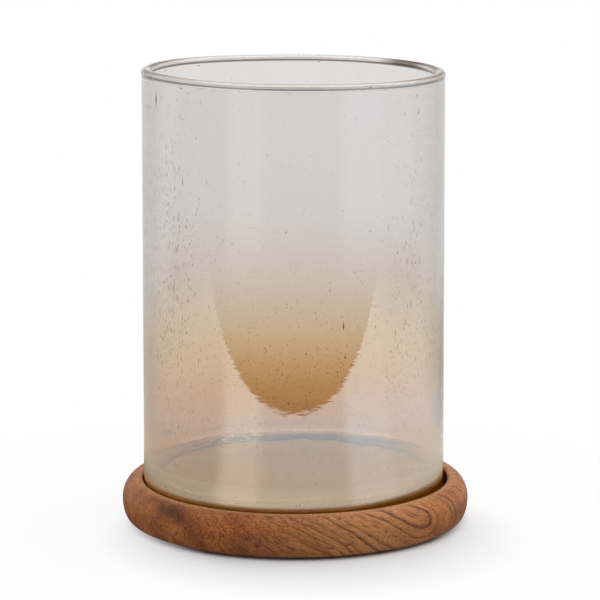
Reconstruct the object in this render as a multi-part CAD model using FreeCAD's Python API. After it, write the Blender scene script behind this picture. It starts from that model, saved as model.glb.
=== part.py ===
import FreeCAD, Part
import math
import os

# Hurricane candle holder, in millimetres, +Z up.
# A blown glass cylinder with a thick bottom stands loose in the seat of a
# turned wooden base, which rests on felt discs. The origin is on the table,
# on the axis that the base was turned about.

# Felt discs stuck under the base
PAD_D = 18.0
PAD_T = 1.0
PAD_COUNT = 4
PAD_CIRCLE_D = 128.0
FIRST_PAD_ANGLE = 45.0

# Glass cylinder: outside, wall and bottom
GLASS_H = 217.2
GLASS_TOP_D = 152.0
GLASS_FOOT_D = 153.8
WALL_TOP = 4.1
WALL_FOOT = 4.5
BOTTOM_T = 11.4
HEEL_R = 6.0
FOOT_R = 4.0
FOOT_RING_W = 12.0
PUNT_RISE = 1.4

# Fire-polished rim: how far its bead stands out of the wall on each side,
# and the hollow curve that leads into it
BEAD_OUT = 0.3
BEAD_IN = 0.5
BEAD_BLEND_R = 8.0

# Turned wooden base: the rim round the seat, and the seat itself
BASE_H = 20.6
RIM_W = 10.6
RIM_WIDEST_Z = 10.0
RIM_UNDERCUT = 4.2
SEAT_DEPTH = 8.0
SEAT_CLEARANCE = 1.2
SEAT_CORNER_R = 1.5
LIP_W = 2.6
LIP_DROP = 1.3

# Share of the seat's clearance by which the loose glass stands off centre, to -X
GLASS_PLAY_USED = 0.7

# Radii and levels that follow from these
seat_r = GLASS_FOOT_D / 2 + SEAT_CLEARANCE
base_r = seat_r + RIM_W
base_z = PAD_T
seat_z = base_z + BASE_H - SEAT_DEPTH
glass_x = -GLASS_PLAY_USED * SEAT_CLEARANCE

AXIS = FreeCAD.Vector(0, 0, 1)
CENTRE = FreeCAD.Vector(0, 0, 0)


def at(r, z):
    """Point of a turned profile, at radius r and height z."""
    return FreeCAD.Vector(r, 0, z)


def line(a, b):
    return Part.LineSegment(at(*a), at(*b)).toShape()


def arc(a, middle, b):
    return Part.Arc(at(*a), at(*middle), at(*b)).toShape()


def on_circle(centre, radius, degrees):
    """Profile point on a circle, counted from the outward direction."""
    turn = math.radians(degrees)
    return (centre[0] + radius * math.cos(turn), centre[1] + radius * math.sin(turn))


def round_arc(centre, radius, start, end):
    """Circular arc of a profile between two angles in degrees."""
    middle = (start + end) / 2
    return arc(*(on_circle(centre, radius, angle) for angle in (start, middle, end)))


def quarter_ellipse(centre, width, height, start):
    """Quarter of an upright ellipse, from the angle start to 90 degrees further on."""
    if width >= height:
        curve = Part.Ellipse(at(centre[0] + width, centre[1]), at(centre[0], centre[1] + height), at(*centre))
        turn = start
    else:
        curve = Part.Ellipse(at(centre[0], centre[1] + height), at(centre[0] - width, centre[1]), at(*centre))
        turn = start - 90
    return curve.toShape(math.radians(turn), math.radians(turn + 90))


def turned(edges):
    """Solid of revolution of a closed profile about the vertical axis."""
    wire = Part.Wire(Part.__sortEdges__(edges))
    return Part.Face(wire).revolve(CENTRE, AXIS, 360)


def bead_blend_drop(bead_r, proud):
    """How far below the bead's centre a hollow blend leaves the straight wall."""
    reach = BEAD_BLEND_R + bead_r
    return math.sqrt(reach ** 2 - (reach - proud) ** 2)


def glass_cylinder():
    """Blown cylinder: punted foot, thick bottom, tapered wall and swollen rim."""
    foot_r = GLASS_FOOT_D / 2
    top_r = GLASS_TOP_D / 2
    well_foot_r = foot_r - WALL_FOOT
    well_top_r = top_r - WALL_TOP

    ring_out = foot_r - FOOT_R
    ring_in = ring_out - FOOT_RING_W
    punt_sphere_r = (ring_in ** 2 + PUNT_RISE ** 2) / (2 * PUNT_RISE)
    punt_centre = (0, PUNT_RISE - punt_sphere_r)
    punt_end = math.degrees(math.asin(ring_in / punt_sphere_r))

    bead_r = (WALL_TOP + BEAD_OUT + BEAD_IN) / 2
    bead = (top_r + BEAD_OUT - bead_r, GLASS_H - bead_r)
    drop_out = bead_blend_drop(bead_r, BEAD_OUT)
    drop_in = bead_blend_drop(bead_r, BEAD_IN)
    lean_out = math.degrees(math.asin(drop_out / (BEAD_BLEND_R + bead_r)))
    lean_in = math.degrees(math.asin(drop_in / (BEAD_BLEND_R + bead_r)))
    blend_out = (top_r + BEAD_BLEND_R, bead[1] - drop_out)
    blend_in = (well_top_r - BEAD_BLEND_R, bead[1] - drop_in)

    profile = [
        round_arc(punt_centre, punt_sphere_r, 90, 90 - punt_end),
        line((ring_in, 0), (ring_out, 0)),
        round_arc((ring_out, FOOT_R), FOOT_R, -90, 0),
        line((foot_r, FOOT_R), (top_r, blend_out[1])),
        round_arc(blend_out, BEAD_BLEND_R, 180, 180 - lean_out),
        round_arc(bead, bead_r, -lean_out, 180 + lean_in),
        round_arc(blend_in, BEAD_BLEND_R, lean_in, 0),
        line((well_top_r, blend_in[1]), (well_foot_r, BOTTOM_T + HEEL_R)),
        round_arc((well_foot_r - HEEL_R, BOTTOM_T + HEEL_R), HEEL_R, 0, -90),
        line((well_foot_r - HEEL_R, BOTTOM_T), (0, BOTTOM_T)),
        line((0, BOTTOM_T), (0, PUNT_RISE)),
    ]
    glass = turned(profile)
    glass.translate(FreeCAD.Vector(glass_x, 0, seat_z))
    return glass


def wooden_base():
    """Turned disc: rounded rim, softened lip and a flat seat for the glass."""
    crest_r = seat_r + LIP_W
    upper_h = BASE_H - RIM_WIDEST_Z
    seat_floor = BASE_H - SEAT_DEPTH
    seat_wall_top = BASE_H - LIP_DROP

    profile = [
        line((0, 0), (base_r - RIM_UNDERCUT, 0)),
        quarter_ellipse((base_r - RIM_UNDERCUT, RIM_WIDEST_Z), RIM_UNDERCUT, RIM_WIDEST_Z, -90),
        quarter_ellipse((crest_r, RIM_WIDEST_Z), base_r - crest_r, upper_h, 0),
        quarter_ellipse((crest_r, seat_wall_top), LIP_W, LIP_DROP, 90),
        line((seat_r, seat_wall_top), (seat_r, seat_floor + SEAT_CORNER_R)),
        round_arc((seat_r - SEAT_CORNER_R, seat_floor + SEAT_CORNER_R), SEAT_CORNER_R, 0, -90),
        line((seat_r - SEAT_CORNER_R, seat_floor), (0, seat_floor)),
        line((0, seat_floor), (0, 0)),
    ]
    base = turned(profile)
    base.translate(FreeCAD.Vector(0, 0, base_z))
    return base


def felt_pad(index):
    """Die-cut disc, one of an even ring under the base."""
    turn = math.radians(FIRST_PAD_ANGLE + index * 360 / PAD_COUNT)
    reach = PAD_CIRCLE_D / 2
    middle = FreeCAD.Vector(reach * math.cos(turn), reach * math.sin(turn), 0)
    return Part.makeCylinder(PAD_D / 2, PAD_T, middle, AXIS)


pieces = {"wooden_base": wooden_base(), "glass_cylinder": glass_cylinder()}
for index in range(PAD_COUNT):
    pieces[f"felt_pad_{index + 1}"] = felt_pad(index)

os.makedirs("parts", exist_ok=True)
for name, solid in pieces.items():
    print(name, solid.ShapeType, "valid" if solid.isValid() else "not valid", round(solid.Volume, 1))
    solid.exportStep(f"parts/{name}.step")
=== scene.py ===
import math

import bpy
import numpy as np
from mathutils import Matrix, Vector


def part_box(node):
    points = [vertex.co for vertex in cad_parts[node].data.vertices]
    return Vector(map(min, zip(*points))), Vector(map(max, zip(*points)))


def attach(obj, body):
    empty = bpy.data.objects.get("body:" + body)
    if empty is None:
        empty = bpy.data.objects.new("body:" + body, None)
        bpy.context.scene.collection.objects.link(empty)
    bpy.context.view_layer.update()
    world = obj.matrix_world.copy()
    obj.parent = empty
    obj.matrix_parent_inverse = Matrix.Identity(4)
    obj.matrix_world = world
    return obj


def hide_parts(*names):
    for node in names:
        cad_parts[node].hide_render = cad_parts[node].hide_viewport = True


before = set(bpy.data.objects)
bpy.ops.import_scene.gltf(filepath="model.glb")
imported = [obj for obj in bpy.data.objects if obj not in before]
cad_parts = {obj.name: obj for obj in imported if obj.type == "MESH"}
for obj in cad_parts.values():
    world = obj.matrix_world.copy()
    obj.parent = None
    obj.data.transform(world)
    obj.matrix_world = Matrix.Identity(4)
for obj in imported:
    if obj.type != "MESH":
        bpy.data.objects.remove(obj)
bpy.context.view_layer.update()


# Felt pads
# Four thin discs die-cut from pressed wool felt, with a slightly fluffy cut edge.
# Each is stuck flat under the wooden base, and the holder stands on them.
MM = 0.001
PAD_EDGE_ROUND = 0.25 * MM
PAD_EDGE_START = -80
PAD_FRAY = 0.06 * MM
PAD_FRAY_REACH = 0.1 * MM
PAD_SPOKES = 72


def linear(colour):
    """sRGB hex to linear RGBA: the sRGB curve undone for each channel."""
    srgb = np.array([int(colour[i:i + 2], 16) for i in (1, 3, 5)]) / 255
    rgb = np.where(srgb <= 0.04045, srgb / 12.92, ((srgb + 0.055) / 1.055) ** 2.4)
    return (*rgb.tolist(), 1.0)


def node(tree, kind, inputs=None, stops=None, out=0, **settings):
    """Adds a node and gives back its output called out, or all its outputs where out is None.

    An input gets a link where its value is a socket, or else that value. Sockets that share a name
    go by number: a colour Mix has its share at 0, its colours at 6 and 7 and its result at 2.
    stops are a colour ramp's positions and hex colours.
    """
    made = tree.nodes.new("ShaderNode" + kind)
    for name, value in settings.items():
        setattr(made, name, value)
    for socket, value in (inputs or {}).items():
        if isinstance(value, bpy.types.NodeSocket):
            tree.links.new(value, made.inputs[socket])
        else:
            made.inputs[socket].default_value = value
    for count, (position, colour) in enumerate(stops or ()):
        ramp = made.color_ramp.elements
        stop = ramp[count] if count < 2 else ramp.new(position)
        stop.position = position
        stop.color = linear(colour)
    return made.outputs if out is None else made.outputs[out]


def material(name):
    """A material with an empty node tree, that tree and its object coordinates."""
    made = bpy.data.materials.new(name)
    made.use_nodes = True
    made.node_tree.nodes.clear()
    return made, made.node_tree, node(made.node_tree, "TexCoord", out="Object")


def ellipse(centre, width, height, start, end, count):
    """Profile points on an upright ellipse between two angles in degrees, ends included."""
    turn = np.radians(np.linspace(start, end, count))
    return centre[0] + width * np.cos(turn), centre[1] + height * np.sin(turn)


def straight(start, end, count):
    """Evenly spaced profile points on a straight line, ends included."""
    return np.linspace(start[0], end[0], count), np.linspace(start[1], end[1], count)


def waves(parts, turn, rise=0.0):
    """Sum of sine waves round the axis.

    Each part gives a wave's height, its count in a full turn, its lean for each unit of rise and
    its phase: height times the sine of count times turn plus lean times rise plus phase.
    """
    return sum(height * np.sin(count * turn + lean * rise + phase) for height, count, lean, phase in parts)


def lathe(radii, heights, centre):
    """Closed skin of a turned shape: the profile's rings of points carried round a vertical axis.

    radii and heights are grids with one row for each profile point and one column for each
    spoke. The first and last rows lie on the axis, and each becomes a single pole. The profile
    runs from the underside's middle, round the outside, to the middle of the top.
    """
    spokes = radii.shape[1]
    turn = np.linspace(0, 2 * np.pi, spokes, endpoint=False)
    rings = np.stack([radii * np.cos(turn), radii * np.sin(turn), heights], axis=-1)[1:-1]
    poles = np.array([[0, 0, heights[0].mean()], [0, 0, heights[-1].mean()]])
    points = np.concatenate([rings.reshape(-1, 3), poles]) + np.array([*centre, 0])
    grid = np.arange(len(rings) * spokes).reshape(len(rings), spokes)
    after = np.roll(grid, -1, axis=1)
    quads = np.stack([grid[:-1], after[:-1], after[1:], grid[1:]], axis=-1).reshape(-1, 4)
    low_pole = np.full(spokes, len(points) - 2)
    high_pole = np.full(spokes, len(points) - 1)
    caps = np.concatenate([
        np.stack([low_pole, after[0], grid[0]], axis=-1),
        np.stack([high_pole, grid[-1], after[-1]], axis=-1),
    ])
    return points, quads, caps


def put(name, points, faces, finishes, body, nodes, finish_of_faces=None):
    """Makes a smooth mesh object and hangs it on its CAD body in place of its CAD nodes."""
    mesh = bpy.data.meshes.new(name)
    mesh.from_pydata(points, [], faces)
    for finish in finishes:
        mesh.materials.append(finish)
    if finish_of_faces is not None:
        mesh.polygons.foreach_set("material_index", finish_of_faces)
    mesh.shade_smooth()
    mesh.update()
    piece = bpy.data.objects.new(name, mesh)
    bpy.context.collection.objects.link(piece)
    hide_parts(*nodes)
    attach(piece, body)


# Pressed wool felt: matt, dark brown, with a mat of short paler fibres and a soft sheen. Real
# fibres are far finer; these are drawn coarse enough to show.
FELT_FIBRE = 0.6 * MM
FELT_NAP = 0.15 * MM
FELT_TONES = [(0.35, "#2A221D"), (0.7, "#4A4038")]
felt, tree, place = material("pressed wool felt")
fibres = node(tree, "TexNoise", {"Vector": place, "Scale": 1 / FELT_FIBRE, "Detail": 6.0, "Roughness": 0.7})
felt_colour = node(tree, "ValToRGB", {"Fac": fibres}, stops=FELT_TONES)
nap = node(tree, "Bump", {"Height": fibres, "Strength": 0.8, "Distance": FELT_NAP})
felted = node(tree, "BsdfPrincipled", {
    "Base Color": felt_colour,
    "Normal": nap,
    "Roughness": 0.95,
    "Sheen Weight": 0.35,
    "Sheen Roughness": 0.5,
})
node(tree, "OutputMaterial", {"Surface": felted}, out=None)

pad_nodes = sorted(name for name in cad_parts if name.startswith("felt_pad"))
turn = np.linspace(0, 2 * np.pi, PAD_SPOKES, endpoint=False)
for pad, name in enumerate(pad_nodes):
    low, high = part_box(name)
    pad_r = (high.x - low.x) / 2
    flat_r = pad_r - PAD_EDGE_ROUND
    edge = (flat_r, low.z + PAD_EDGE_ROUND)
    profile = np.concatenate([
        straight((0, low.z), (flat_r, low.z), 8),
        ellipse(edge, PAD_EDGE_ROUND, PAD_EDGE_ROUND, PAD_EDGE_START, 0, 5),
        straight((pad_r, (low.z + high.z) / 2), (pad_r, high.z), 3),
        straight((flat_r, high.z), (0, high.z), 4),
    ], axis=1)
    # The frayed edge stays within the disc.
    fray_waves = [(PAD_FRAY, 11, 0, pad), (PAD_FRAY, 17, 0, 2 * pad), (PAD_FRAY, 29, 0, 0)]
    fray = waves(fray_waves, turn) - len(fray_waves) * PAD_FRAY
    at_edge = (profile[0] > flat_r - PAD_FRAY_REACH)[:, None]
    radii = profile[0][:, None] + at_edge * fray
    heights = np.repeat(profile[1][:, None], PAD_SPOKES, axis=1)
    points, quads, caps = lathe(radii, heights, ((low.x + high.x) / 2, (low.y + high.y) / 2))
    put(f"felt_disc_{pad + 1}", points, quads.tolist() + caps.tolist(), [felt], "base", [name])


# Wooden base
# One disc of figured hardwood, turned on a lathe: a full rounded rim, a softened lip and a flat
# seat that takes the foot of the glass with a little play. Sanded fine and rubbed with oil.
low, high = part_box("wooden_base")
BASE_R = (high.x - low.x) / 2
BASE_LOW, BASE_TOP = low.z, high.z
RIM_W = 10.6 * MM
RIM_WIDEST = 10.0 * MM
RIM_UNDERCUT = 4.2 * MM
LIP_W = 2.6 * MM
LIP_DROP = 1.3 * MM
SEAT_DEPTH = 8.0 * MM
SEAT_CORNER = 1.5 * MM
SEAT_RELIEF = 0.1 * MM
BASE_SPOKES = 320
seat_r = BASE_R - RIM_W
crest_r = seat_r + LIP_W
widest_z = BASE_LOW + RIM_WIDEST
seat_z = BASE_TOP - SEAT_DEPTH - SEAT_RELIEF


def joined(stretches):
    """One profile from stretches that meet end to end, with each shared point kept once."""
    return np.concatenate([
        np.array(stretch)[:, min(count, 1):] for count, stretch in enumerate(stretches)
    ], axis=1)


# Oiled teak-like hardwood: warm red-brown, with dark growth lines that close round the log's heart
# at the right, a small knot at the left, fine pores along the grain and a satin oil finish.
# The log's own space is in millimetres, with X along its heart, which sways and bows.
HEART_PLACE = (57 * MM, -66 * MM, 19 * MM)
HEART_TURN = (0.0, math.radians(26), math.radians(13))
LOG_SWAY = 6.0
LOG_SWAY_LENGTH = 26.0
LOG_CURVE = 0.0022
oiled_wood, tree, place = material("oiled turned hardwood")
log = node(tree, "Mapping", {
    "Vector": place, "Location": HEART_PLACE, "Rotation": HEART_TURN, "Scale": (MM, MM, MM),
}, vector_type="TEXTURE")
sway = node(tree, "TexNoise", {
    "Vector": log, "Scale": 1 / LOG_SWAY_LENGTH, "Detail": 1.0, "Roughness": 0.5,
}, out="Color")
swayed = node(tree, "VectorMath", {0: sway, 1: (LOG_SWAY,) * 3, 2: log}, operation="MULTIPLY_ADD")
bent = node(tree, "SeparateXYZ", {"Vector": swayed}, out=None)
squared = node(tree, "Math", {0: bent["X"], 1: bent["X"]}, operation="MULTIPLY")
sagged = node(tree, "Math", {0: squared, 1: -LOG_CURVE, 2: bent["Z"]}, operation="MULTIPLY_ADD")
across_log = node(tree, "CombineXYZ", {"Y": bent["Y"], "Z": sagged})
# The noise that sways the log is a half on average, so the heart lies half a sway off.
heart = (0.0, LOG_SWAY / 2, LOG_SWAY / 2)
girth = node(tree, "VectorMath", {0: across_log, 1: heart}, out="Value", operation="DISTANCE")

# The knot pulls the growth rings round itself: by KNOT_PULL at its middle, by KNOT_FALL of that at
# its edge.
KNOT_PLACE = (-61 * MM, -63 * MM, 18 * MM)
KNOT_TURN = (0.0, math.radians(14), math.radians(-45))
KNOT_SIZE = (19 * MM, 12 * MM, 7 * MM)
KNOT_FALL = 0.37
KNOT_PULL = 20.0
knot = node(tree, "Mapping", {
    "Vector": place, "Location": KNOT_PLACE, "Rotation": KNOT_TURN, "Scale": KNOT_SIZE,
}, vector_type="TEXTURE")
from_knot = node(tree, "VectorMath", {0: knot, 1: knot}, out="Value", operation="DOT_PRODUCT")
pull = node(tree, "Math", {0: KNOT_FALL, 1: from_knot}, operation="POWER")
drawn = node(tree, "Math", {0: pull, 1: KNOT_PULL, 2: girth}, operation="MULTIPLY_ADD")

# Growth lines: each year's ring ends in a dark line, stronger in some years and towards the right,
# where the heart comes to the surface.
RING = 4.0
RING_UNEVEN = 9.0
RING_UNEVEN_LENGTH = 8.0
LINE_STOPS = [
    (0.0, "#707070"), (0.1, "#101010"), (0.3, "#1C1C1C"), (0.5, "#6E6E6E"), (0.72, "#D8D8D8"),
    (0.9, "#FFFFFF"), (1.0, "#707070"),
]
LINE_STRENGTH = 0.15, 1.0
LINE_ALONG = -70.0, -15.0
LINE_SHARE = 0.4, 0.9
pace = node(tree, "TexNoise", {
    "W": drawn, "Scale": 1 / RING_UNEVEN_LENGTH, "Detail": 1.0,
}, noise_dimensions="1D")
uneven = node(tree, "Math", {0: pace, 1: RING_UNEVEN, 2: drawn}, operation="MULTIPLY_ADD")
years = node(tree, "Math", {0: uneven, 1: 1 / RING}, operation="MULTIPLY")
in_year = node(tree, "Math", {0: years}, operation="FRACT")
year = node(tree, "Math", {0: years}, operation="FLOOR")
line = node(tree, "ValToRGB", {"Fac": in_year}, stops=LINE_STOPS)
season = node(tree, "TexWhiteNoise", {"W": year}, noise_dimensions="1D")
dryness = node(tree, "MapRange", {
    "Value": season, "To Min": LINE_STRENGTH[0], "To Max": LINE_STRENGTH[1],
})
to_right = node(tree, "MapRange", {
    "Value": bent["X"], "From Min": LINE_ALONG[0], "From Max": LINE_ALONG[1],
    "To Min": LINE_SHARE[0], "To Max": LINE_SHARE[1],
})
dry_line = node(tree, "Math", {0: line, 1: dryness}, operation="MULTIPLY")
figured = node(tree, "Math", {0: to_right, 1: pull}, operation="MAXIMUM")
line_share = node(tree, "Math", {0: dry_line, 1: figured}, operation="MULTIPLY")

# Colour of the wood: plain tones drawn out along the grain, a paler zone to the right of the middle that is
# partly sapwood and partly a painted sheen of the light from the right, flecks that thin out to the right,
# growth lines and the knot's core. Real flecks and pores are a few tenths of a millimetre wide; these are
# coarser, so that they show.
GRAIN_DRAWN = (0.1, 1.0, 1.0)
PLAIN_GRAIN = 11.0
PLAIN_TONES = [(0.33, "#8D4B25"), (0.48, "#A6602D"), (0.64, "#BD7539")]
SAP_AND_LIGHT_START = -75.0, -25.0
SAP_AND_LIGHT_END = -5.0, 20.0
SAP_AND_LIGHT_MOST, SAP_AND_LIGHT_LEAST = 0.8, 0.3
SAP_AND_LIGHT_TONE = "#C88C58"
FLECK_GRAIN = 1.0
FLECK_LEVELS = 0.48, 0.68
FLECK_SHARE = 0.65
FLECK_ALONG = -60.0, -10.0
FLECK_LEAST = 0.3
FLECK_TONE = "#5C341F"
LINE_TONE = "#471F0E"
CORE_FALL = 2.5
CORE_SHARE = 0.8
lengthwise = node(tree, "VectorMath", {0: log, 1: GRAIN_DRAWN}, operation="MULTIPLY")
figure = node(tree, "TexNoise", {
    "Vector": lengthwise, "Scale": 1 / PLAIN_GRAIN, "Detail": 4.0, "Roughness": 0.6,
})
plain = node(tree, "ValToRGB", {"Fac": figure}, stops=PLAIN_TONES)
# The pale zone: partly sapwood, partly a painted sheen of the light from the right.
sap_and_light_start = node(tree, "MapRange", {
    "Value": bent["X"], "From Min": SAP_AND_LIGHT_START[0], "From Max": SAP_AND_LIGHT_START[1], "To Max": SAP_AND_LIGHT_MOST,
})
sap_and_light_end = node(tree, "MapRange", {
    "Value": bent["X"], "From Min": SAP_AND_LIGHT_END[0], "From Max": SAP_AND_LIGHT_END[1], "To Min": 1.0, "To Max": SAP_AND_LIGHT_LEAST,
})
sap_and_light_share = node(tree, "Math", {0: sap_and_light_start, 1: sap_and_light_end}, operation="MULTIPLY")
paler = node(tree, "Mix", {0: sap_and_light_share, 6: plain, 7: linear(SAP_AND_LIGHT_TONE)}, out=2, data_type="RGBA")
flecks = node(tree, "TexNoise", {"Vector": lengthwise, "Scale": 1 / FLECK_GRAIN, "Detail": 3.0})
fleck_dark = node(tree, "MapRange", {
    "Value": flecks, "From Min": FLECK_LEVELS[0], "From Max": FLECK_LEVELS[1], "To Max": FLECK_SHARE,
})
fleck_less = node(tree, "MapRange", {
    "Value": bent["X"], "From Min": FLECK_ALONG[0], "From Max": FLECK_ALONG[1],
    "To Min": 1.0, "To Max": FLECK_LEAST,
})
fleck_share = node(tree, "Math", {0: fleck_dark, 1: fleck_less}, operation="MULTIPLY")
flecked = node(tree, "Mix", {0: fleck_share, 6: paler, 7: linear(FLECK_TONE)}, out=2, data_type="RGBA")
lined = node(tree, "Mix", {0: line_share, 6: flecked, 7: linear(LINE_TONE)}, out=2, data_type="RGBA")
core = node(tree, "Math", {0: pull, 1: CORE_FALL}, operation="POWER")
core_share = node(tree, "Math", {0: core, 1: CORE_SHARE}, operation="MULTIPLY")
knotted = node(tree, "Mix", {0: core_share, 6: lined, 7: linear(LINE_TONE)}, out=2, data_type="RGBA")

# Painted shade: the seat's wall and floor turn dark from a little below the lip downwards, for the shade in
# the narrow gap round the glass foot.
RECESS_EDGE = 1.2 * MM, 0.2 * MM
RECESS_DEPTH = 0.5 * MM, 2.5 * MM
RECESS_SHADE_SHARE = 0.9
RECESS_SHADE_TONE = "#2C1508"
spot = node(tree, "SeparateXYZ", {"Vector": place}, out=None)
level = node(tree, "CombineXYZ", {"X": spot["X"], "Y": spot["Y"]})
off_axis = node(tree, "VectorMath", {0: level}, out="Value", operation="LENGTH")
in_recess = node(tree, "MapRange", {
    "Value": off_axis, "From Min": seat_r + RECESS_EDGE[0], "From Max": seat_r + RECESS_EDGE[1],
})
sunk = node(tree, "MapRange", {
    "Value": spot["Z"], "From Min": BASE_TOP - RECESS_DEPTH[0], "From Max": BASE_TOP - RECESS_DEPTH[1],
    "To Max": RECESS_SHADE_SHARE,
})
recess_shade = node(tree, "Math", {0: in_recess, 1: sunk}, operation="MULTIPLY")
oiled_with_painted_shade = node(tree, "Mix", {0: recess_shade, 6: knotted, 7: linear(RECESS_SHADE_TONE)}, out=2, data_type="RGBA")

# Painted highlight: a pale golden line along the lip's edge, where it catches the light.
LIP_HIGHLIGHT_REACH = 4.0 * MM, 0.2 * MM
LIP_HIGHLIGHT_DEPTH = 1.2 * MM, 0.15 * MM
LIP_HIGHLIGHT_SHARE = 0.42
LIP_HIGHLIGHT_TONE = "#DDB084"
near_crest = node(tree, "MapRange", {
    "Value": off_axis, "From Min": crest_r + LIP_HIGHLIGHT_REACH[0], "From Max": crest_r + LIP_HIGHLIGHT_REACH[1],
})
near_top = node(tree, "MapRange", {
    "Value": spot["Z"], "From Min": BASE_TOP - LIP_HIGHLIGHT_DEPTH[0], "From Max": BASE_TOP - LIP_HIGHLIGHT_DEPTH[1],
})
on_lip = node(tree, "Math", {0: near_crest, 1: near_top}, operation="MULTIPLY")
lip_highlight_share = node(tree, "Math", {0: on_lip, 1: LIP_HIGHLIGHT_SHARE}, operation="MULTIPLY")
with_lip_highlight = node(tree, "Mix", {0: lip_highlight_share, 6: oiled_with_painted_shade, 7: linear(LIP_HIGHLIGHT_TONE)}, out=2, data_type="RGBA")

# Pores darken the oiled surface and break up its polish.
PORE_GRAIN = 0.6
PORE_TONES = [(0.32, "#8E644A"), (0.52, "#FFFFFF")]
PORE_SHARE = 0.75
PORE_DEPTH = 0.05 * MM
POLISH_LEVELS = 0.3, 0.7
POLISH_ROUGHNESS = 0.6, 0.42
pores = node(tree, "TexNoise", {"Vector": lengthwise, "Scale": 1 / PORE_GRAIN, "Detail": 3.0})
pore_tone = node(tree, "ValToRGB", {"Fac": pores}, stops=PORE_TONES)
pored = node(tree, "Mix", {
    0: PORE_SHARE, 6: with_lip_highlight, 7: pore_tone,
}, out=2, data_type="RGBA", blend_type="MULTIPLY")
grain = node(tree, "Bump", {"Height": pores, "Strength": 0.5, "Distance": PORE_DEPTH})
polish = node(tree, "MapRange", {
    "Value": pores, "From Min": POLISH_LEVELS[0], "From Max": POLISH_LEVELS[1],
    "To Min": POLISH_ROUGHNESS[0], "To Max": POLISH_ROUGHNESS[1],
})
wood = node(tree, "BsdfPrincipled", {
    "Base Color": pored,
    "Roughness": polish,
    "Normal": grain,
    "IOR": 1.4,
    "Specular IOR Level": 0.3,
    "Coat Weight": 0.05,
    "Coat Roughness": 0.25,
})
node(tree, "OutputMaterial", {"Surface": wood}, out=None)

seat_corner = (seat_r - SEAT_CORNER, seat_z + SEAT_CORNER)
profile = joined([
    straight((0, BASE_LOW), (BASE_R - RIM_UNDERCUT, BASE_LOW), 16),
    ellipse((BASE_R - RIM_UNDERCUT, widest_z), RIM_UNDERCUT, RIM_WIDEST, -90, 0, 24),
    ellipse((crest_r, widest_z), BASE_R - crest_r, BASE_TOP - widest_z, 0, 90, 32),
    ellipse((crest_r, BASE_TOP - LIP_DROP), LIP_W, LIP_DROP, 90, 180, 14),
    straight((seat_r, BASE_TOP - LIP_DROP), (seat_r, seat_z + SEAT_CORNER), 8),
    ellipse(seat_corner, SEAT_CORNER, SEAT_CORNER, 0, -90, 8),
    straight((seat_r - SEAT_CORNER, seat_z), (0, seat_z), 20),
])
radii, heights = (np.repeat(values[:, None], BASE_SPOKES, axis=1) for values in profile)
points, quads, caps = lathe(radii, heights, (0, 0))
faces = quads.tolist() + caps.tolist()
put("turned_base", points, faces, [oiled_wood], "base", ["wooden_base"])


# Glass cylinder
# One blown vessel of seeded soda-lime glass that stands loose in the seat: a thick bottom with a
# punted foot, a hand-worked wall and a fire-polished rim. A metallic lustre on the outside runs
# from amber at the foot to nearly clear.
low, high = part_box("glass_cylinder")
FOOT_RADIUS = (high.y - low.y) / 2
GLASS_X = (low.x + high.x) / 2
GLASS_LOW, GLASS_TOP = low.z, high.z
MOUTH_RADIUS = 76.0 * MM
WALL_TOP = 4.1 * MM
WALL_FOOT = 4.5 * MM
BOTTOM_T = 11.4 * MM
HEEL_R = 8.0 * MM
FOOT_R = 4.0 * MM
FOOT_RING_W = 12.0 * MM
PUNT_RISE = 1.4 * MM
BEAD_OUT = 0.3 * MM
BEAD_IN = 0.5 * MM
BEAD_H = 1.8 * MM
BEAD_BLEND = 6.0 * MM
BEAD_STEPS = 4001
GLASS_SPOKES = 224

foot_in = FOOT_RADIUS - FOOT_R
punt_r = foot_in - FOOT_RING_W
punt_sphere = (punt_r ** 2 + PUNT_RISE ** 2) / (2 * PUNT_RISE)
punt_lean = math.degrees(math.asin(punt_r / punt_sphere))
bead_w = (WALL_TOP + BEAD_OUT + BEAD_IN) / 2
bead = (MOUTH_RADIUS + BEAD_OUT - bead_w, GLASS_TOP - BEAD_H)
well_top_r = MOUTH_RADIUS - WALL_TOP
well_foot_r = FOOT_RADIUS - WALL_FOOT
floor_z = GLASS_LOW + BOTTOM_T


def bead_joint(bulge):
    """Where a hollow blend leaves the bead for the wall: the bead's angle, the blend's lean and height.

    The blend's circle touches the bead's ellipse from outside and the straight wall, which stands
    back from the bead's widest point by bulge. The angle is the one of many tried that fits best.
    """
    angle = np.linspace(0, np.pi / 2, BEAD_STEPS)
    steep = np.hypot(BEAD_H * np.cos(angle), bead_w * np.sin(angle))
    reach = bead_w * np.cos(angle) + BEAD_BLEND * BEAD_H * np.cos(angle) / steep
    best = angle[np.argmin(np.abs(reach - (bead_w - bulge + BEAD_BLEND)))]
    lean = math.atan2(bead_w * math.sin(best), BEAD_H * math.cos(best))
    drop = BEAD_H * math.sin(best) + BEAD_BLEND * math.sin(lean)
    return math.degrees(best), math.degrees(lean), bead[1] - drop


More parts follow.
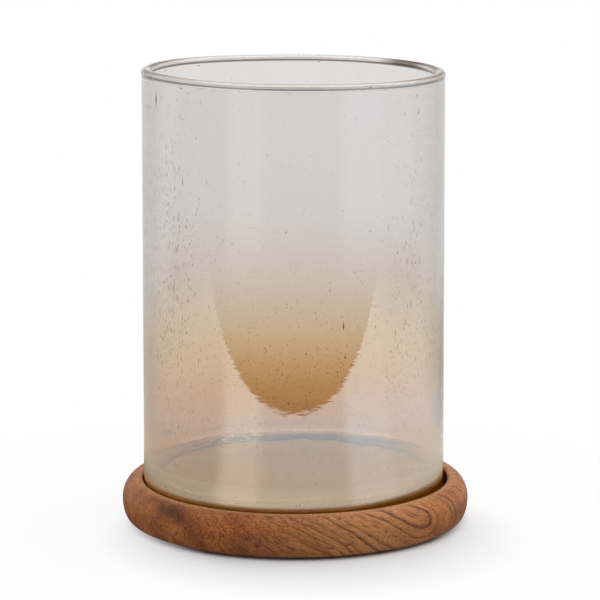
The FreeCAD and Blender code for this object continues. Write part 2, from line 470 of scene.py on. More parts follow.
leave_out, lean_out, blend_out = bead_joint(BEAD_OUT)
leave_in, lean_in, blend_in = bead_joint(BEAD_IN)
punt_centre = (0, GLASS_LOW + PUNT_RISE - punt_sphere)
heel_centre = (well_foot_r - HEEL_R, floor_z + HEEL_R)
stretches = {
    "punt": ellipse(punt_centre, punt_sphere, punt_sphere, 90, 90 - punt_lean, 16),
    "foot ring": straight((punt_r, GLASS_LOW), (foot_in, GLASS_LOW), 6),
    "foot": ellipse((foot_in, GLASS_LOW + FOOT_R), FOOT_R, FOOT_R, -90, 0, 12),
    "outer wall": straight((FOOT_RADIUS, GLASS_LOW + FOOT_R), (MOUTH_RADIUS, blend_out), 42),
    "outer blend": ellipse(
        (MOUTH_RADIUS + BEAD_BLEND, blend_out), BEAD_BLEND, BEAD_BLEND, 180, 180 - lean_out, 6),
    "bead": ellipse(bead, bead_w, BEAD_H, -leave_out, 180 + leave_in, 36),
    "inner blend": ellipse((well_top_r - BEAD_BLEND, blend_in), BEAD_BLEND, BEAD_BLEND, lean_in, 0, 6),
    "inner wall": straight((well_top_r, blend_in), (well_foot_r, floor_z + HEEL_R), 38),
    "heel": ellipse(heel_centre, HEEL_R, HEEL_R, 0, -90, 18),
    "floor": straight((well_foot_r - HEEL_R, floor_z), (0, floor_z), 26),
}
profile = joined(stretches.values())
# The profile's row at which each stretch ends.
lengths = [len(stretch[0]) - 1 for stretch in stretches.values()]
ends = dict(zip(stretches, np.cumsum(lengths)))
bead_top = ends["outer blend"] + len(stretches["bead"][0]) // 2


def ease(value, start, end):
    """Smooth step from 0 at start to 1 at end."""
    share = np.clip((value - start) / (end - start), 0, 1)
    return share * share * (3 - 2 * share)


# The hand shows in slow waves of the wall, a rim that isn't quite level and an uneven heel.
WAVE_RISE = 40 * MM
WAVE_FADE_LOW, WAVE_FADE_HIGH = 20 * MM, 12 * MM
OUTER_WAVES = [(0.07 * MM, 3, 0.6, 0.0), (0.05 * MM, 5, -0.9, 1.3)]
INNER_WAVES = [(0.12 * MM, 4, 0.8, 2.1), (0.08 * MM, 7, -1.1, 0.0)]
RIM_REACH = 14 * MM
RIM_SLANT = (0.7 * MM, 1, 0, -math.pi / 2)
RIM_WAVES = [(0.16 * MM, 2, 0, 0.7), (0.10 * MM, 5, 0, 2.0), RIM_SLANT]
HEEL_REACH_UP = 12 * MM
HEEL_REACH_IN = 26 * MM, 4 * MM
HEEL_WAVES = [
    (0.5 * MM, 4, 0, 1.0), (0.4 * MM, 9, 0, 2.0), (0.3 * MM, 17, 0, 0.0), (0.2 * MM, 31, 0, 0.5),
]
turn = np.linspace(0, 2 * np.pi, GLASS_SPOKES, endpoint=False)
radii, heights = (np.repeat(values[:, None], GLASS_SPOKES, axis=1) for values in profile)
inside = np.arange(profile.shape[1])[:, None] > bead_top
rise = heights / WAVE_RISE
above_floor = ease(profile[1], floor_z, floor_z + WAVE_FADE_LOW)
below_rim = ease(profile[1], GLASS_TOP, GLASS_TOP - WAVE_FADE_HIGH)
upright = (above_floor * below_rim)[:, None]
at_rim = ease(profile[1], GLASS_TOP - RIM_REACH, GLASS_TOP)[:, None]
near_floor = ease(profile[1], floor_z + HEEL_REACH_UP, floor_z)[:, None]
near_wall = ease(profile[0], well_foot_r - HEEL_REACH_IN[0], well_foot_r - HEEL_REACH_IN[1])[:, None]
radii += upright * np.where(inside, waves(INNER_WAVES, turn, rise), waves(OUTER_WAVES, turn, rise))
heights += at_rim * waves(RIM_WAVES, turn)
heights += inside * near_floor * near_wall * waves(HEEL_WAVES, turn)
points, quads, caps = lathe(radii, heights, (GLASS_X, 0))

# Each stretch of the vessel has its own finish: lustre outside, clear glass inside, a ground foot,
# a bloomed heel and a hazed bead.
LUSTRED, CLEAR, GROUND, HEEL, BEAD, VOID = range(6)
quad_rows = np.repeat(np.arange(1, profile.shape[1] - 2), GLASS_SPOKES)
in_foot = quad_rows < ends["foot ring"]
in_heel = (quad_rows >= ends["inner wall"]) & (quad_rows < ends["heel"])
in_bead = (quad_rows >= ends["outer blend"]) & (quad_rows < ends["bead"])
finish_of_quads = np.select(
    [in_foot, in_heel, in_bead, quad_rows > bead_top], [GROUND, HEEL, BEAD, CLEAR], LUSTRED)
finish_of_caps = np.repeat([GROUND, CLEAR], GLASS_SPOKES)

# Seeds: small gas bubbles drawn out upwards as the wall was worked, closed voids in the glass. They
# crowd and grow towards the foot; higher up they gather at the flanks, where they are drawn out
# most. Real ones are finer; these are large enough to show. A LOG pair is the mean and spread of
# the natural logarithm of half a width in millimetres.
SEED_COUNT = 9600
SEED_MARGIN_LOW, SEED_MARGIN_HIGH = 8 * MM, 9 * MM
SEED_CROWDING = 1.5
SEED_LOG_MM = -2.15, 0.3
SEED_GROWTH = 0.65
SEED_GROWTH_Z = 130 * MM, 60 * MM
SEED_GATHERING = 0.38
SEED_GATHERING_Z = 70 * MM, 150 * MM
SEED_INSET_MM = 1.2, 3.0
SEED_STRETCH = 0.2, 3.2
SEED_STRETCH_IN_FRONT = 0.2
SEED_FLATNESS = 0.5, 0.9
rng = np.random.default_rng(11)


def seeds(angle, height, radius, across, tall, deep):
    """Closed voids: a double pyramid at each place, with its eight faces turned inwards.

    Its corners stand off its middle by across along the wall, deep through it and tall upwards.
    """
    corners = np.array([[1, 0, 0], [0, 1, 0], [-1, 0, 0], [0, -1, 0], [0, 0, 1], [0, 0, -1]])
    waist = np.arange(4)
    after = np.roll(waist, -1)
    top, bottom = np.full(4, 4), np.full(4, 5)
    upper = np.stack([top, after, waist], axis=-1)
    lower = np.stack([bottom, waist, after], axis=-1)
    outward = np.stack([np.cos(angle), np.sin(angle), 0 * angle], axis=-1)
    along = np.stack([-np.sin(angle), np.cos(angle), 0 * angle], axis=-1)
    upward = np.array([0, 0, 1])
    middle = outward * radius[:, None] + upward * height[:, None] + np.array([GLASS_X, 0, 0])
    axes = np.stack([along * across[:, None], outward * deep[:, None], upward * tall[:, None]], axis=1)
    start = len(corners) * np.arange(len(angle))[:, None, None]
    triangles = (np.concatenate([upper, lower]) + start).reshape(-1, 3)
    return (middle[:, None] + corners @ axes).reshape(-1, 3), triangles


wall_low, wall_high = floor_z + SEED_MARGIN_LOW, GLASS_TOP - SEED_MARGIN_HIGH
seed_z = wall_low + (wall_high - wall_low) * rng.uniform(0, 1, SEED_COUNT) ** SEED_CROWDING
seed_size = np.exp(rng.normal(*SEED_LOG_MM, SEED_COUNT)) * MM
seed_size *= 1 + SEED_GROWTH * ease(seed_z, *SEED_GROWTH_Z)
seed_turn = rng.uniform(0, 2 * np.pi, SEED_COUNT)
seed_turn -= SEED_GATHERING * ease(seed_z, *SEED_GATHERING_Z) * np.sin(2 * seed_turn)
seed_inset = rng.uniform(*SEED_INSET_MM, SEED_COUNT) * MM
on_flank = SEED_STRETCH_IN_FRONT + (1 - SEED_STRETCH_IN_FRONT) * np.cos(seed_turn) ** 2
seed_tall = seed_size * (1 + rng.uniform(*SEED_STRETCH, SEED_COUNT) * on_flank)
seed_deep = seed_size * rng.uniform(*SEED_FLATNESS, SEED_COUNT)

# Drawn-out seeds stand in drifts to either side of both flanks, more of them at the left.
LONG_COUNT = 850
LONG_FLANKS = [0.0, np.pi]
LONG_FLANK_SHARES = [0.36, 0.64]
LONG_LEAN = 0.44, 0.18
LONG_Z_MM = 108, 54
LONG_Z_LIMITS_MM = 38, 214
LONG_SIZE_MM = 0.15, 0.26
LONG_GROWTH = 0.6
LONG_GROWTH_Z = 130 * MM, 70 * MM
LONG_TALL_MM = 0.6, 1.7
long_flank = rng.choice(LONG_FLANKS, LONG_COUNT, p=LONG_FLANK_SHARES)
long_z = np.clip(rng.normal(*LONG_Z_MM, LONG_COUNT), *LONG_Z_LIMITS_MM) * MM
long_lean = rng.normal(*LONG_LEAN, LONG_COUNT) * rng.choice([-1.0, 1.0], LONG_COUNT)
seed_z[:LONG_COUNT] = long_z
seed_turn[:LONG_COUNT] = long_flank + long_lean
seed_size[:LONG_COUNT] = rng.uniform(*LONG_SIZE_MM, LONG_COUNT) * MM
seed_size[:LONG_COUNT] *= 1 + LONG_GROWTH * ease(long_z, *LONG_GROWTH_Z)
seed_tall[:LONG_COUNT] = rng.uniform(*LONG_TALL_MM, LONG_COUNT) * MM

# Two larger bubbles lie high at the left and in front, a little right of the middle.
BUBBLE_TURN = np.radians([-152.6, -71.2])
BUBBLE_Z = [219 * MM, 113 * MM]
BUBBLE_SIZE = [0.8 * MM, 0.36 * MM]
BUBBLE_TALL = [4.6 * MM, 2.3 * MM]
bubbles = slice(len(BUBBLE_Z))
seed_turn[bubbles] = BUBBLE_TURN
seed_z[bubbles] = BUBBLE_Z
seed_size[bubbles] = BUBBLE_SIZE
seed_tall[bubbles] = BUBBLE_TALL
share_up = (seed_z - GLASS_LOW) / (GLASS_TOP - GLASS_LOW)
seed_r = FOOT_RADIUS + (MOUTH_RADIUS - FOOT_RADIUS) * share_up - seed_inset
wall_seeds = seeds(seed_turn, seed_z, seed_r, seed_size, seed_tall, seed_deep)

# Rounder bubbles float in the bottom.
BOTTOM_COUNT = 70
BOTTOM_LOG_MM = -1.8, 0.3
BOTTOM_MARGIN_LOW, BOTTOM_MARGIN_HIGH = 4 * MM, 2 * MM
BOTTOM_AREA = 0.1, 1.0
bottom_size = np.exp(rng.normal(*BOTTOM_LOG_MM, BOTTOM_COUNT)) * MM
bottom_turn = rng.uniform(0, 2 * np.pi, BOTTOM_COUNT)
bottom_z = rng.uniform(GLASS_LOW + BOTTOM_MARGIN_LOW, floor_z - BOTTOM_MARGIN_HIGH, BOTTOM_COUNT)
bottom_r = well_foot_r * np.sqrt(rng.uniform(*BOTTOM_AREA, BOTTOM_COUNT))
bottom_seeds = seeds(bottom_turn, bottom_z, bottom_r, bottom_size, bottom_size, bottom_size)

# A string of broad bubbles was trapped along the heel, and a few more in the bead of the rim.
HEEL_COUNT = 160
HEEL_LOG_MM = -1.5, 0.35
HEEL_ARC = np.radians(15), np.radians(75)
HEEL_INSET_MM = 1.8, 3.0
HEEL_BREADTH = 1.6
heel_lean = rng.uniform(*HEEL_ARC, HEEL_COUNT)
heel_out = HEEL_R + rng.uniform(*HEEL_INSET_MM, HEEL_COUNT) * MM
heel_size = np.exp(rng.normal(*HEEL_LOG_MM, HEEL_COUNT)) * MM
heel_turn = rng.uniform(0, 2 * np.pi, HEEL_COUNT)
heel_z = heel_centre[1] - heel_out * np.sin(heel_lean)
heel_r = heel_centre[0] + heel_out * np.cos(heel_lean)
heel_seeds = seeds(heel_turn, heel_z, heel_r, HEEL_BREADTH * heel_size, heel_size, heel_size)

RIM_COUNT = 36
RIM_SIZE_MM = 0.2, 0.45
RIM_DROP_MM = 2.2, 4.5
RIM_ASIDE_MM = -0.8, 0.8
RIM_BREADTH = 1.5
rim_size = rng.uniform(*RIM_SIZE_MM, RIM_COUNT) * MM
rim_turn = rng.uniform(0, 2 * np.pi, RIM_COUNT)
rim_z = GLASS_TOP - rng.uniform(*RIM_DROP_MM, RIM_COUNT) * MM
rim_r = bead[0] + rng.uniform(*RIM_ASIDE_MM, RIM_COUNT) * MM
rim_seeds = seeds(rim_turn, rim_z, rim_r, RIM_BREADTH * rim_size, rim_size, rim_size)

# Lustred seeded glass: the outside mirrors the room in a cool haze where the lustre is thick, and what
# passes through turns amber; towards the rim both fade to a faintly grey clear glass. Round the foot the
# tint is painted shade: a dark brown band for the shaded gap under the wooden lip and the dark wood seen in
# the glass there. It climbs a little at the right, where that gap is wider.
GLASS_IOR = 1.51
AMBER_LOW, AMBER_HIGH = 20 * MM, 200 * MM
# The first stops, dark brown, are the painted shade round the foot; the rest are the amber lustre.
GLASS_STOPS = [
    (0.008, "#502000"), (0.011, "#945422"), (0.018, "#945422"), (0.023, "#F6E3C2"), (0.036, "#F6E3C2"),
    (0.06, "#DCB68A"), (0.18, "#F2C48A"), (0.28, "#FBD9B1"), (0.38, "#F4E4C8"), (0.55, "#F3EAE2"),
    (0.72, "#F4EFEC"), (1.0, "#F5F2F1"),
]
FOOT_SHADE_RISE = 2.2 * MM
FOOT_SHADE_SIDE = 30 * MM, 76 * MM
LUSTRE_STOPS = [
    (0.0, "#000000"), (0.014, "#202020"), (0.022, "#FFFFFF"), (0.24, "#FFFFFF"), (0.34, "#E2E2E2"),
    (0.511, "#929292"), (0.658, "#7C7C7C"), (1.0, "#7C7C7C"),
]
LUSTRE_TINTS = [(0.02, "#F6EEE2"), (0.1, "#F4EEDE"), (0.24, "#DEF0FA"), (0.511, "#D6ECF8")]
LUSTRE_SHARE = 0.43
LUSTRE_DIM = 0.3
RIPPLE_UP = 3.0 * MM
RIPPLE_ROUND = 10 * MM
RIPPLE_DEPTH = 0.014 * MM
# The heel has a pale bloom, a thin haze and, at the back left, a patch of painted glints: white flecks where
# light glints off the uneven heel.
BLOOM_SHARE = 0.7
BLOOM_TONE = "#DCC9A2"
HEEL_HAZE = 0.12
GLINT_SHARE = 0.9
GLINT_TONE = "#FFF6E2"
GLINT_GRAIN = 1.2 * MM
GLINT_DRAWN = (0.3, 1.0, 1.0)
GLINT_LEVELS = 0.52, 0.62
GLINT_PLACE = (-30 * MM, 62 * MM, 27 * MM)
GLINT_R = 10 * MM, 24 * MM
# The rim is hazed all round and a darker brown in a patch at the back right.
RIM_HAZE = 0.33
HAZE_TONE = "#C8BCB2"
RIM_BROWN_SHARE = 0.7
RIM_BROWN_TONE = "#4A2A12"
RIM_BROWN_PLACE = (60 * MM, 45 * MM, 229 * MM)
RIM_BROWN_R = 8 * MM, 21 * MM


def glass_finish(name, film=0.0, bloom=0.0, haze=0.0, glints=0.0, brown_patch=0.0):
    """Rippled glass, tinted by height, under those of five coats that have a share.

    film is the lustre's mirror and haze a matt veil, both seen from outside the glass. bloom is a pale glow
    seen from within it. The last two are patches that fade out from their middles: white flecks of painted
    glints, and a darker brown.
    """
    made, tree, place = material(name)
    spot = node(tree, "SeparateXYZ", {"Vector": place}, out=None)
    # The painted shade round the foot climbs towards the right.
    foot_shade_climb = node(tree, "MapRange", {
        "Value": spot["X"], "From Min": FOOT_SHADE_SIDE[0], "From Max": FOOT_SHADE_SIDE[1], "To Max": FOOT_SHADE_RISE,
    })
    height = node(tree, "Math", {0: spot["Z"], 1: foot_shade_climb}, operation="SUBTRACT")
    share_up = node(tree, "MapRange", {"Value": height, "From Min": AMBER_LOW, "From Max": AMBER_HIGH})
    tint = node(tree, "ValToRGB", {"Fac": share_up}, stops=GLASS_STOPS)
    within = node(tree, "NewGeometry", out="Backfacing")
    if film:
        loss = node(tree, "MapRange", {"Value": within, "To Max": LUSTRE_DIM})
        tint = node(tree, "Mix", {0: loss, 6: tint, 7: (0, 0, 0, 1)}, out=2, data_type="RGBA")
    squeeze = (1.0, 1.0, RIPPLE_ROUND / RIPPLE_UP)
    squeezed = node(tree, "VectorMath", {0: place, 1: squeeze}, operation="MULTIPLY")
    ripple = node(tree, "TexNoise", {"Vector": squeezed, "Scale": 1 / RIPPLE_ROUND, "Detail": 3.0})
    worked = node(tree, "Bump", {"Height": ripple, "Strength": 1.0, "Distance": RIPPLE_DEPTH})
    shown = node(tree, "BsdfPrincipled", {
        "Base Color": tint,
        "Normal": worked,
        "Roughness": 0.0,
        "IOR": GLASS_IOR,
        "Transmission Weight": 1.0,
    })
    coats = []
    if film:
        thick = node(tree, "ValToRGB", {"Fac": share_up}, stops=LUSTRE_STOPS)
        outside = node(tree, "MapRange", {"Value": within, "To Min": film, "To Max": 0.0})
        cover = node(tree, "Math", {0: thick, 1: outside}, operation="MULTIPLY")
        gleam = node(tree, "ValToRGB", {"Fac": share_up}, stops=LUSTRE_TINTS)
        mirror = {"Color": gleam, "Roughness": 0.02, "Normal": worked}
        coats.append((cover, node(tree, "BsdfAnisotropic", mirror)))
    if bloom:
        bloomed = node(tree, "MapRange", {"Value": within, "To Min": 0.0, "To Max": bloom})
        coats.append((bloomed, node(tree, "BsdfTranslucent", {"Color": linear(BLOOM_TONE)})))
    if haze:
        hazed = node(tree, "MapRange", {"Value": within, "To Min": haze, "To Max": 0.0})
        coats.append((hazed, node(tree, "BsdfDiffuse", {"Color": linear(HAZE_TONE)})))
    # Painted glints: white flecks in a patch at the back left of the heel.
    if glints:
        strung = node(tree, "VectorMath", {0: place, 1: GLINT_DRAWN}, operation="MULTIPLY")
        glint_noise = node(tree, "TexNoise", {"Vector": strung, "Scale": 1 / GLINT_GRAIN, "Detail": 3.0})
        flecks = node(tree, "MapRange", {
            "Value": glint_noise, "From Min": GLINT_LEVELS[0], "From Max": GLINT_LEVELS[1], "To Max": glints,
        })
        from_glints = node(tree, "VectorMath", {0: place, 1: GLINT_PLACE}, out="Value", operation="DISTANCE")
        patch = node(tree, "MapRange", {"Value": from_glints, "From Min": GLINT_R[1], "From Max": GLINT_R[0]})
        glinting = node(tree, "Math", {0: flecks, 1: patch}, operation="MULTIPLY")
        coats.append((glinting, node(tree, "BsdfDiffuse", {"Color": linear(GLINT_TONE)})))
    if brown_patch:
        from_brown_patch = node(tree, "VectorMath", {0: place, 1: RIM_BROWN_PLACE}, out="Value", operation="DISTANCE")
        in_brown_patch = node(tree, "MapRange", {
            "Value": from_brown_patch, "From Min": RIM_BROWN_R[1], "From Max": RIM_BROWN_R[0], "To Max": brown_patch,
        })
        coats.append((in_brown_patch, node(tree, "BsdfDiffuse", {"Color": linear(RIM_BROWN_TONE)})))
    for share, coat in coats:
        shown = node(tree, "MixShader", {0: share, 1: shown, 2: coat})
    node(tree, "OutputMaterial", {"Surface": shown}, out=None)
    return made


# Ground glass: the foot's hollow and standing ring were ground after blowing and left pale and matt.
GROUND_GRIT = 5 * MM
GROUND_TONES = [(0.3, "#FAE8C6"), (0.7, "#FFF3D8")]
GROUND_TINT = "#FFF3E0"
GROUND_SHARE = 0.95
ground_glass, tree, place = material("ground glass foot")
grit = node(tree, "TexNoise", {"Vector": place, "Scale": 1 / GROUND_GRIT, "Detail": 5.0})
paleness = node(tree, "ValToRGB", {"Fac": grit}, stops=GROUND_TONES)
frost = node(tree, "BsdfDiffuse", {"Color": paleness, "Roughness": 0.5})
unground = node(tree, "BsdfPrincipled", {
    "Base Color": linear(GROUND_TINT),
    "Roughness": 0.2,
    "IOR": GLASS_IOR,
    "Transmission Weight": 1.0,
})
ground = node(tree, "MixShader", {0: GROUND_SHARE, 1: unground, 2: frost})
node(tree, "OutputMaterial", {"Surface": ground}, out=None)

# Gas seeds: their round walls send most of the light aside, so each shows as a small dark speck. Their tint,
# darker than the glass, is painted shade, so that they show at this size.
SEED_TONE = "#AE947A"
gas_seeds, tree, place = material("gas seeds in glass")
void = node(tree, "BsdfPrincipled", {
    "Base Color": linear(SEED_TONE),
    "Roughness": 0.0,
    "IOR": GLASS_IOR,
    "Transmission Weight": 1.0,
})
node(tree, "OutputMaterial", {"Surface": void}, out=None)

# The finishes stand in the order of their numbers.
finishes = {
    LUSTRED: glass_finish("lustred seeded glass", film=LUSTRE_SHARE),
    CLEAR: glass_finish("clear seeded glass"),
    GROUND: ground_glass,
    HEEL: glass_finish("bloomed heel glass", bloom=BLOOM_SHARE, haze=HEEL_HAZE, glints=GLINT_SHARE),
    BEAD: glass_finish("hazed rim glass", film=LUSTRE_SHARE, haze=RIM_HAZE, brown_patch=RIM_BROWN_SHARE),
    VOID: gas_seeds,
}
faces = quads.tolist() + caps.tolist()
finish_of_faces = [finish_of_quads, finish_of_caps]
seed_groups = [(wall_seeds, VOID), (bottom_seeds, CLEAR), (heel_seeds, CLEAR), (rim_seeds, VOID)]
for (seed_points, seed_faces), seed_finish in seed_groups:
    faces += (seed_faces + len(points)).tolist()
    finish_of_faces.append(np.full(len(seed_faces), seed_finish))
    points = np.concatenate([points, seed_points])
finish_of_faces = np.concatenate(finish_of_faces).astype(np.int32)
put("seeded_glass", points, faces, finishes.values(), "glass", ["glass_cylinder"],
    finish_of_faces)


# Table and studio
# A white table top that runs on behind as the backdrop, in a white studio that is dim in front.
# A large soft lamp hangs overhead, with a small warm one at the right and a weak cool one at the
# left.
TABLE_HALF = 8.0
TABLE_WHITE = "#DCDEE0"

# White table top: matt, with the holder's shadow at its foot, and plain white further out. In the gloss of
# the glass it glows with painted light and shade instead: rays of warm and cool light that run out from the
# holder, a dark room past its front edge and its sides that pales again further off, and one plain tone
# behind.
TABLE_FRONT = -0.4
TABLE_FRONT_BLUR = 0.004
TABLE_SIDE = 0.58
TABLE_BACK = 0.05
TABLE_FADE = 0.35
RAY_STOPS = [
    (0.0, "#E4E1DE"), (0.12, "#D2CDC8"), (0.352, "#D2CDC8"), (0.38, "#FFF6EC"), (0.43, "#FFF6EC"),
    (0.45, "#E2DFDC"), (0.588, "#E2DFDC"), (0.612, "#FFFFFF"), (0.68, "#FFFFFF"), (0.7, "#F6F6F6"),
    (0.88, "#F6F6F6"), (1.0, "#E4E1DE"),
]
RAY_DEEPENING = 0.55
ROOM_DARK = "#3C3936"
ROOM_DARK_R = 0.6, 1.3
table_top, tree, place = material("white table top")
path = node(tree, "LightPath", out=None)
spot = node(tree, "SeparateXYZ", {"Vector": place}, out=None)
away = node(tree, "VectorMath", {0: place}, out="Value", operation="LENGTH")
behind_front = node(tree, "MapRange", {
    "Value": spot["Y"],
    "From Min": TABLE_FRONT - TABLE_FRONT_BLUR, "From Max": TABLE_FRONT + TABLE_FRONT_BLUR,
})
aside = node(tree, "Math", {0: spot["X"]}, operation="ABSOLUTE")
within_sides = node(tree, "MapRange", {
    "Value": aside, "From Min": TABLE_SIDE, "From Max": TABLE_SIDE + TABLE_FADE,
    "To Min": 1.0, "To Max": 0.0,
}, interpolation_type="SMOOTHSTEP")
on_table = node(tree, "Math", {0: behind_front, 1: within_sides}, operation="MULTIPLY")
nearer = node(tree, "Math", {0: spot["Y"], 1: -1.0}, operation="MULTIPLY")
bearing = node(tree, "Math", {0: spot["X"], 1: nearer}, operation="ARCTAN2")
sector = node(tree, "MapRange", {"Value": bearing, "From Min": -math.pi, "From Max": math.pi})
rays = node(tree, "ValToRGB", {"Fac": sector}, stops=RAY_STOPS)
deep_rays = node(tree, "Mix", {
    0: RAY_DEEPENING, 6: rays, 7: rays,
}, out=2, data_type="RGBA", blend_type="MULTIPLY")
past_dark = node(tree, "MapRange", {
    "Value": away, "From Min": ROOM_DARK_R[0], "From Max": ROOM_DARK_R[1],
}, interpolation_type="SMOOTHSTEP")
past_table = node(tree, "Mix", {0: past_dark, 6: linear(ROOM_DARK), 7: deep_rays}, out=2, data_type="RGBA")
pattern = node(tree, "Mix", {0: on_table, 6: past_table, 7: rays}, out=2, data_type="RGBA")

# Behind the holder, and where the light has come through the glass, the tone is plain. It darkens close to
# the base, a painted shadow of the base.
PLAIN_NEAR_TONE = "#CDB8A2"
PLAIN_FAR_TONE = "#DEDAD6"
PLAIN_R = 0.2, 0.9
CONTACT_R = 0.11, 0.2
CONTACT_LEAST = 0.2
in_front = node(tree, "MapRange", {
    "Value": spot["Y"], "From Min": TABLE_BACK, "From Max": TABLE_BACK + TABLE_FADE,
    "To Min": 1.0, "To Max": 0.0,
}, interpolation_type="SMOOTHSTEP")
from_air = node(tree, "Math", {0: path["Transmission Depth"], 1: 1.0}, operation="LESS_THAN")
patterned = node(tree, "Math", {0: in_front, 1: from_air}, operation="MULTIPLY")
far_off = node(tree, "MapRange", {
    "Value": away, "From Min": PLAIN_R[0], "From Max": PLAIN_R[1],
}, interpolation_type="SMOOTHSTEP")
plain_tone = node(tree, "Mix", {
    0: far_off, 6: linear(PLAIN_NEAR_TONE), 7: linear(PLAIN_FAR_TONE),
}, out=2, data_type="RGBA")
table_tone = node(tree, "Mix", {0: patterned, 6: plain_tone, 7: pattern}, out=2, data_type="RGBA")
contact = node(tree, "MapRange", {
    "Value": away, "From Min": CONTACT_R[0], "From Max": CONTACT_R[1],
    "To Min": CONTACT_LEAST, "To Max": 1.0,
}, interpolation_type="SMOOTHSTEP")
mirrored_table = node(tree, "Emission", {"Color": table_tone, "Strength": contact})

# Seen directly or through the glass, the matt white with its shadow clears to plain white.
SHADOW_PLACE = (0.009, -0.045, 0.0)
SHADOW_R = 0.06, 0.108
SHADOW_LIFT = 0.85
CLEAN_R = 0.095, 0.24
matt = node(tree, "BsdfDiffuse", {"Color": linear(TABLE_WHITE)})
from_shadow = node(tree, "VectorMath", {0: place, 1: SHADOW_PLACE}, out="Value", operation="DISTANCE")
shadow_end = node(tree, "MapRange", {
    "Value": from_shadow, "From Min": SHADOW_R[0], "From Max": SHADOW_R[1], "To Max": SHADOW_LIFT,
})
clean = node(tree, "MapRange", {"Value": away, "From Min": CLEAN_R[0], "From Max": CLEAN_R[1]})
cleared = node(tree, "Math", {0: shadow_end, 1: clean}, operation="MAXIMUM")
in_view = node(tree, "Math", {0: path["Is Camera Ray"], 1: path["Is Transmission Ray"]}, operation="MAXIMUM")
cleared_in_view = node(tree, "Math", {0: cleared, 1: in_view}, operation="MULTIPLY")
white_table = node(tree, "Emission", {"Color": (1, 1, 1, 1), "Strength": 1.0})
seen_table = node(tree, "MixShader", {0: cleared_in_view, 1: matt, 2: white_table})
mirrored = node(tree, "Math", {0: path["Glossy Depth"], 1: 1.0}, operation="MINIMUM")
shown_table = node(tree, "MixShader", {0: mirrored, 1: seen_table, 2: mirrored_table})
node(tree, "OutputMaterial", {"Surface": shown_table}, out=None)

mesh = bpy.data.meshes.new("table_top")
corners = TABLE_HALF * np.array([[-1, -1, 0], [1, -1, 0], [1, 1, 0], [-1, 1, 0]])
mesh.from_pydata(corners.tolist(), [], [(0, 1, 2, 3)])
mesh.materials.append(table_top)
table = bpy.data.objects.new("table_top", mesh)
bpy.context.collection.objects.link(table)

# The room as glass and polish see it: white near the table and at the sides, dim above and in
# front. Matt surfaces see a white ceiling instead, brighter behind, and the camera plain white.
ROOM_STOPS = [(0.0, "#FFFFFF"), (0.06, "#FFFFFF"), (0.16, "#968C84"), (0.4, "#8C857F"), (1.0, "#A0A0A0")]
ROOM_FRONT = -0.6, 0.2
ROOM_FRONT_SHARE = 0.3
ROOM_SIDE = 0.2, 0.6
ROOM_SIDE_SHARE = 0.75
CEILING = 0.66
CEILING_LEAN = 0.75
world = bpy.data.worlds.new("studio")
bpy.context.scene.world = world
world.use_nodes = True
tree = world.node_tree
tree.nodes.clear()
path = node(tree, "LightPath", out=None)
way = node(tree, "SeparateXYZ", {"Vector": node(tree, "TexCoord", out="Generated")}, out=None)
backdrop = node(tree, "ValToRGB", {"Fac": way["Z"]}, stops=ROOM_STOPS)
backwards = node(tree, "MapRange", {
    "Value": way["Y"], "From Min": ROOM_FRONT[0], "From Max": ROOM_FRONT[1],
    "To Min": ROOM_FRONT_SHARE, "To Max": 1.0,
})
dimmed = node(tree, "Mix", {
    0: 1.0, 6: backdrop, 7: backwards,
}, out=2, data_type="RGBA", blend_type="MULTIPLY")
aside = node(tree, "Math", {0: way["X"]}, operation="ABSOLUTE")
to_side = node(tree, "MapRange", {
    "Value": aside, "From Min": ROOM_SIDE[0], "From Max": ROOM_SIDE[1], "To Max": ROOM_SIDE_SHARE,
})
sided = node(tree, "Mix", {0: to_side, 6: dimmed, 7: (1, 1, 1, 1)}, out=2, data_type="RGBA")
room = node(tree, "Background", {"Color": sided, "Strength": 1.0})
ceiling_light = node(tree, "MapRange", {
    "Value": way["Y"], "From Min": -1.0, "From Max": 1.0,
    "To Min": CEILING * (1 - CEILING_LEAN), "To Max": CEILING * (1 + CEILING_LEAN),
})
ceiling = node(tree, "Background", {"Color": (1, 1, 1, 1), "Strength": ceiling_light})
white_room = node(tree, "Background", {"Color": (1, 1, 1, 1), "Strength": 1.0})
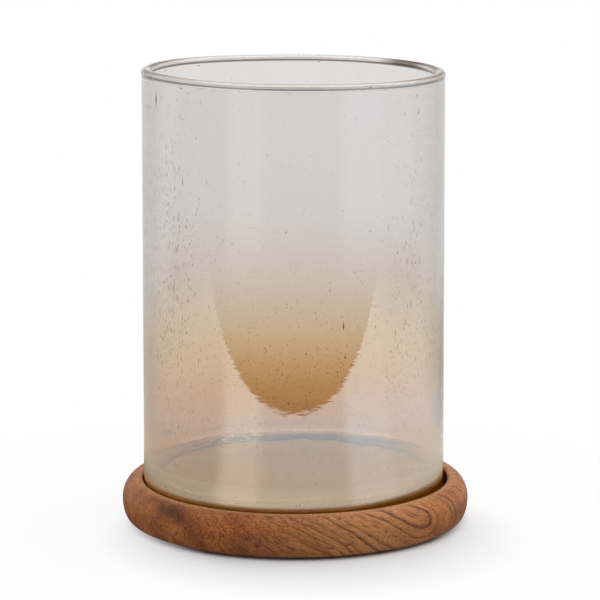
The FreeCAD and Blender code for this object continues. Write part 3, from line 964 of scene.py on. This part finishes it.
from_matt = node(tree, "Math", {0: path["Diffuse Depth"], 1: 1.0}, operation="MINIMUM")
lighting = node(tree, "MixShader", {0: from_matt, 1: room, 2: ceiling})
shown_room = node(tree, "MixShader", {0: path["Is Camera Ray"], 1: lighting, 2: white_room})
node(tree, "OutputWorld", {"Surface": shown_room}, out=None)


LAMP_AIM = (0, 0, 0.05)


def softbox(name, place, size, power, colour):
    """A square area lamp at place, turned to face the holder's base."""
    lamp = bpy.data.lights.new(name, "AREA")
    lamp.size = size
    lamp.energy = power
    lamp.color = linear(colour)[:3]
    hung = bpy.data.objects.new(name, lamp)
    bpy.context.collection.objects.link(hung)
    hung.location = place
    hung.rotation_euler = (Vector(LAMP_AIM) - Vector(place)).to_track_quat("-Z", "Y").to_euler()


softbox("top_softbox", place=(0.0, 0.0, 1.3), size=1.4, power=14.0, colour="#FFFFFF")
softbox("key_softbox", place=(0.8, 0.25, 0.9), size=0.5, power=1.8, colour="#FFFAF4")
softbox("fill_softbox", place=(-1.1, -0.5, 0.9), size=1.0, power=0.5, colour="#F4F8FF")


# Camera
# A long lens 1.4 m in front of the holder and a little above its rim, looking slightly down.
# Light runs round inside the thick wall and the rim many times before it leaves the glass, so
# the limits on its bounces are high.
CAMERA_PLACE = (0.00248, -1.41244, 0.37531)
CAMERA_DOWN = 10.53
PICTURE_PX = 600
FOCAL_PX = 2823.3
CLIP_FAR = 100.0
GLASS_BOUNCES = 32
lens = bpy.data.cameras.new("camera")
lens.sensor_width = 36.0
lens.lens = lens.sensor_width * FOCAL_PX / PICTURE_PX
lens.clip_end = CLIP_FAR
camera = bpy.data.objects.new("camera", lens)
bpy.context.collection.objects.link(camera)
camera.location = CAMERA_PLACE
camera.rotation_euler = (math.radians(90 - CAMERA_DOWN), 0, 0)
scene = bpy.context.scene
scene.camera = camera
scene.view_settings.view_transform = "Standard"
scene.cycles.max_bounces = 2 * GLASS_BOUNCES
scene.cycles.glossy_bounces = GLASS_BOUNCES
scene.cycles.transmission_bounces = GLASS_BOUNCES
